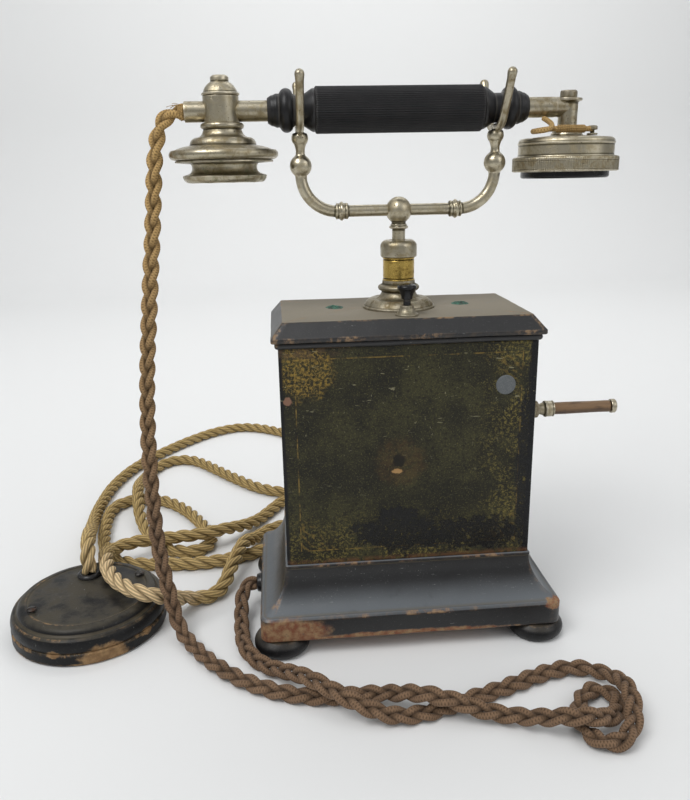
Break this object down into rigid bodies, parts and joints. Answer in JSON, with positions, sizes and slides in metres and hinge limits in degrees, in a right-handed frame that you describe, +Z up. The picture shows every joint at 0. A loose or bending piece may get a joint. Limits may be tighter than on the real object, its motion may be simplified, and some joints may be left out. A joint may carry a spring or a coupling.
{
  "type": "magneto_desk_telephone",
  "caption": "Antique magneto desk telephone with lacquered case, handset on a nickel cradle, crank, braided handset cord and rope line cord to a round wall rosette",
  "frame": {"origin": "middle of the case's footprint, on the surface that the feet stand on", "axes": "+X to the right, along the handset and out along the crank's axle; +Y from the ornamented front panel to the rear panel; +Z up"},
  "size_m": [0.4125, 0.5735, 0.3595],
  "materials": {
    "black_lacquer": "gloss",
    "painted_panel": "satin",
    "nickel_plate": "satin",
    "brass_metal": "satin",
    "black_ebonite": "gloss",
    "worn_wood": "satin",
    "plain_wood": "matte",
    "dark_steel": "matte",
    "copper_winding": "matte",
    "brown_braid": "matte",
    "beige_rope": "matte"
  },
  "bodies": {
    "root": {"base_board": "plain_wood", "button_base": "nickel_plate", "button_spring": "brass_metal", "column_barrel": "brass_metal", "column_base": "nickel_plate", "column_cap": "nickel_plate", "cord_bushes": "black_ebonite", "cradle_spring": "brass_metal", "feet": "black_lacquer", "front_panel": "painted_panel", "gongs": "nickel_plate", "handset_cord_floor": "brown_braid", "hook_switch": "nickel_plate", "induction_coil": "copper_winding", "line_cord": "beige_rope", "magneto_plates": "brass_metal", "magnets": "dark_steel", "panel_plug": "nickel_plate", "plinth": "black_lacquer", "rear_panel": "black_lacquer", "rear_panel_screws": "nickel_plate", "ringer_coils": "copper_winding", "ringer_frame": "brass_metal", "rosette_base": "black_lacquer", "rosette_bush": "black_ebonite", "rosette_cover": "black_lacquer", "rosette_screws": "nickel_plate", "shaft_bush": "nickel_plate", "shelf": "plain_wood", "side_panels": "black_lacquer", "top_bushes": "brass_metal", "top_cap": "black_lacquer"},
    "cradle": {"cradle_stem": "nickel_plate", "cradle_arms": "nickel_plate", "forks": "nickel_plate"},
    "handset": {"handset_tube": "nickel_plate", "grip": "black_ebonite", "grip_ends": "black_ebonite", "transmitter_tee": "nickel_plate", "transmitter_housing": "nickel_plate", "transmitter_capsule": "black_ebonite", "mouthpiece": "nickel_plate", "receiver_post": "nickel_plate", "receiver_nuts": "nickel_plate", "receiver_case": "nickel_plate", "receiver_ring": "nickel_plate", "ear_cap": "black_ebonite", "diaphragm": "dark_steel", "receiver_magnet": "dark_steel", "receiver_lead": "brown_braid", "handset_cord_drop": "brown_braid"},
    "button": {"push_button": "black_ebonite"},
    "crank": {"crank_shaft": "nickel_plate", "crank_arm": "nickel_plate", "handle_pin": "nickel_plate", "drive_gear": "brass_metal"},
    "crank_handle": {"handle_ferrule": "nickel_plate", "handle_grip": "worn_wood"},
    "armature": {"armature": "dark_steel"},
    "hammer": {"hammer": "dark_steel"}
  },
  "joints": [
    {"name": "handset_lift", "type": "slide", "parent": "root", "child": "handset", "axis": [0, 0, 1], "range_m": [0, 0.06]},
    {"name": "cradle_rise", "type": "slide", "parent": "root", "child": "cradle", "axis": [0, 0, 1], "range_m": [0, 0.006], "deforming": ["cradle_spring"]},
    {"name": "button_press", "type": "slide", "parent": "root", "child": "button", "axis": [0, 0, -1], "range_m": [0, 0.003], "stiffness_N_per_m": 400, "deforming": ["button_spring"]},
    {"name": "crank_turn", "type": "hinge", "parent": "root", "child": "crank", "pos_m": [0, 0.012, 0.15], "axis": [1, 0, 0], "continuous": true},
    {"name": "crank_handle_spin", "type": "hinge", "parent": "crank", "child": "crank_handle", "pos_m": [0, -0.028, 0.15], "axis": [1, 0, 0], "continuous": true},
    {"name": "armature_spin", "type": "hinge", "parent": "root", "child": "armature", "pos_m": [0, 0.012, 0.1166], "axis": [1, 0, 0], "continuous": true},
    {"name": "hammer_swing", "type": "hinge", "parent": "root", "child": "hammer", "pos_m": [-0.05, 0, 0.11], "axis": [1, 0, 0], "range_deg": [-1.7, 1.7]}
  ],
  "couplings": [
    {"joint": "cradle_rise", "follows": "handset_lift", "ratio": 0.1},
    {"joint": "armature_spin", "follows": "crank_turn", "ratio": -4}
  ]
}
